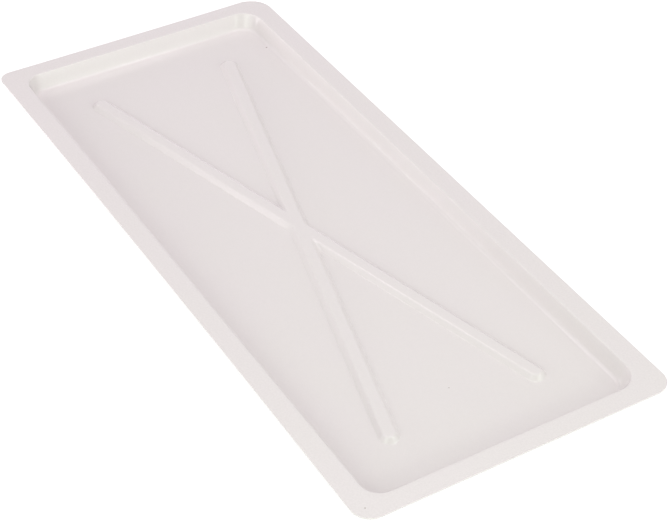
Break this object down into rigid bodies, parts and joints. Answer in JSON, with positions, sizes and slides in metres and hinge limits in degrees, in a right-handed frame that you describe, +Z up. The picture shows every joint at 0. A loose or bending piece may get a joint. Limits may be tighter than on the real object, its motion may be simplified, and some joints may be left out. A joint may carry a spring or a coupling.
{
  "type": "developing tray",
  "caption": "Shallow rectangular vacuum-formed tray with a flat flange, rounded corners, leaning walls and crossed raised ribs in the floor, for processing film or photographic paper.",
  "frame": {"origin": "middle of the floor's underside, on the surface that the tray stands on", "axes": "+X along the tray's long side, +Y across it, +Z up out of the open pan"},
  "size_m": [0.7, 0.3, 0.0169],
  "materials": {
    "white_plastic": "warm white, semi-gloss inside the pan, fine matte grain on the flange"
  },
  "bodies": {
    "root": {"tray": "white_plastic"}
  },
  "joints": []
}
